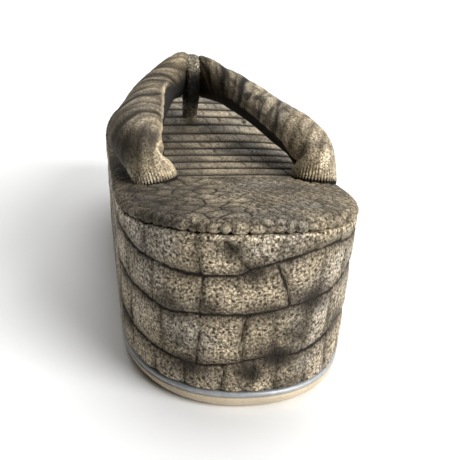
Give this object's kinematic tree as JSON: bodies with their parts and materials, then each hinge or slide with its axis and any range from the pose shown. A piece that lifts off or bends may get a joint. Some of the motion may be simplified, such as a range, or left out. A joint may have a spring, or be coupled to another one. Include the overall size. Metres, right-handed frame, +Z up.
{
  "type": "zori sandal",
  "caption": "Zori sandal with a tall leather-wrapped platform, thin sole, padded footbed and padded thong straps held down by a toe loop.",
  "frame": {"origin": "middle of the sandal's footprint on the floor", "axes": "+Y from heel to toe, +Z up, +X to the right seen from the heel"},
  "size_m": [0.08, 0.24, 0.0804],
  "materials": {
    "sole_rubber": "matte beige rubber with a smooth rounded edge",
    "strip_foil": "satin silver-grey covered strip",
    "wrap_leather": "large-scale embossed leather, bronze foil with black pits and dark grooves",
    "footbed_leather": "padded embossed leather, bronze foil with fine ribs and scales",
    "strap_leather": "padded embossed leather, bronze foil with cross creases",
    "loop_leather": "narrow dark bronze leather band"
  },
  "bodies": {
    "root": {"outsole": "sole_rubber", "sole_strip": "strip_foil", "platform": "wrap_leather", "footbed": "footbed_leather", "straps": "strap_leather", "toe_loop": "loop_leather"}
  },
  "joints": []
}
